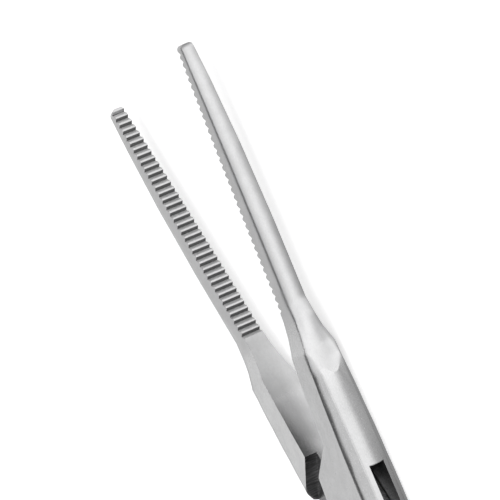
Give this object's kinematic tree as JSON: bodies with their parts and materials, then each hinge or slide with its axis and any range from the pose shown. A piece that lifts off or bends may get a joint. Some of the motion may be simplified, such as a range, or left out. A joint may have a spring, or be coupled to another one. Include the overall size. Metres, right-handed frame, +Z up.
{
  "type": "hemostat forceps",
  "caption": "Straight box-lock artery forceps lying open: slender half-serrated jaws, boxed pivot joint, outward-bowed shanks with ratchet bars and oval finger rings.",
  "frame": {"origin": "where the pivot axis meets the plane that the forceps lie on, at the underside of the box", "axes": "+Y from the pivot between the jaws to their tips, +X across towards the jaw of the box half, +Z up along the pivot axis"},
  "size_m": [0.0816, 0.1358, 0.0041],
  "materials": {
    "satin_steel": "satin, finely brushed along the jaws and shanks",
    "pin_steel": "ground flush with the box"
  },
  "bodies": {
    "box_body": {"female_half": "satin_steel", "pivot_pin": "pin_steel"},
    "tongue_body": {"male_half": "satin_steel"}
  },
  "joints": [
    {"name": "box_lock_pivot", "type": "hinge", "parent": "box_body", "child": "tongue_body", "pos_m": [0, 0, 0.00205], "axis": [0, 0, 1], "range_deg": [-18.8, 41.2]}
  ]
}
